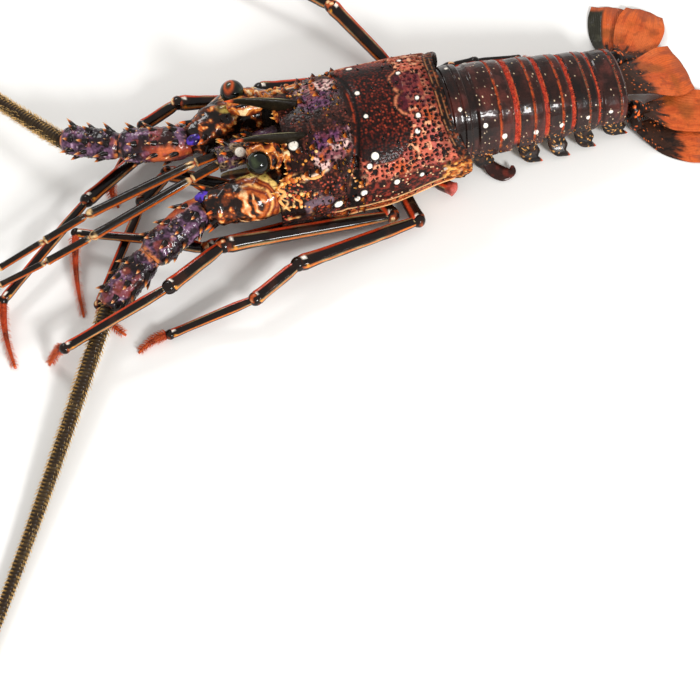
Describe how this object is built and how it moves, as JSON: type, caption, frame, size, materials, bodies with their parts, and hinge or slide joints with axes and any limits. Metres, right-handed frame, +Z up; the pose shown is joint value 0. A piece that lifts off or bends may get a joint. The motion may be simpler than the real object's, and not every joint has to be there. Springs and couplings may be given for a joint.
{
  "type": "spiny lobster",
  "caption": "Life-size spiny lobster resting on its belly: thorned carapace with two horns, long whip antennae, folded walking legs, ringed tail and spread tail fan.",
  "frame": {"origin": "centre of the breastplate's flat underside, on the floor the animal rests on", "axes": "+Z up through the back, -X towards the head and +X towards the tail fan, so the animal's left side is on -Y and its right side on +Y"},
  "size_m": [0.5941, 0.7758, 0.0624],
  "materials": {
    "carapace": "granular horny shell, satin",
    "tail_shell": "smooth horny shell, glossy",
    "fan_blade": "horny blade, satin",
    "belly": "pale horny shell, satin",
    "purple_shell": "horny shell, satin",
    "antenna_base": "horny shell, satin",
    "whip": "ringed horn, satin",
    "small_feeler": "horn, satin",
    "eyestalk": "horn, satin",
    "eye": "glossy",
    "leg_shell": "horny shell, glossy"
  },
  "bodies": {
    "root": {"antenna_base_left": "antenna_base", "antenna_base_right": "antenna_base", "antenna_segment2_left": "purple_shell", "antenna_segment2_right": "purple_shell", "antenna_segment3_left": "purple_shell", "antenna_segment3_right": "purple_shell", "antenna_whip_middle_left": "whip", "antenna_whip_middle_right": "whip", "antenna_whip_near_left": "whip", "antenna_whip_near_right": "whip", "antenna_whip_tip_left": "whip", "antenna_whip_tip_right": "whip", "antennule_inner_left": "small_feeler", "antennule_inner_right": "small_feeler", "antennule_left": "small_feeler", "antennule_outer_left": "small_feeler", "antennule_outer_right": "small_feeler", "antennule_right": "small_feeler", "breastplate": "belly", "carapace": "carapace", "eye_left": "eye", "eye_right": "eye", "eyestalk_left": "eyestalk", "eyestalk_right": "eyestalk", "head_front": "purple_shell", "jaw_foot_left": "belly", "jaw_foot_right": "belly", "leg_left_1_lower": "leg_shell", "leg_left_1_upper": "leg_shell", "leg_left_2_lower": "leg_shell", "leg_left_2_upper": "leg_shell", "leg_left_3_lower": "leg_shell", "leg_left_3_upper": "leg_shell", "leg_left_4_lower": "leg_shell", "leg_left_4_upper": "leg_shell", "leg_left_5_stump": "leg_shell", "leg_right_1_lower": "leg_shell", "leg_right_1_upper": "leg_shell", "leg_right_2_lower": "leg_shell", "leg_right_2_upper": "leg_shell", "leg_right_3_lower": "leg_shell", "leg_right_3_upper": "leg_shell", "leg_right_4_lower": "leg_shell", "leg_right_4_upper": "leg_shell", "leg_right_5_lower": "leg_shell", "leg_right_5_upper": "leg_shell", "tail_ring_1": "tail_shell", "tail_ring_2": "tail_shell", "tail_ring_3": "tail_shell", "tail_ring_4": "tail_shell", "tail_ring_5": "tail_shell", "tail_ring_6": "tail_shell", "telson": "fan_blade", "uropod_base_left": "tail_shell", "uropod_base_right": "tail_shell", "uropod_inner_left": "fan_blade", "uropod_inner_right": "fan_blade", "uropod_outer_left": "fan_blade", "uropod_outer_right": "fan_blade"}
  },
  "joints": []
}
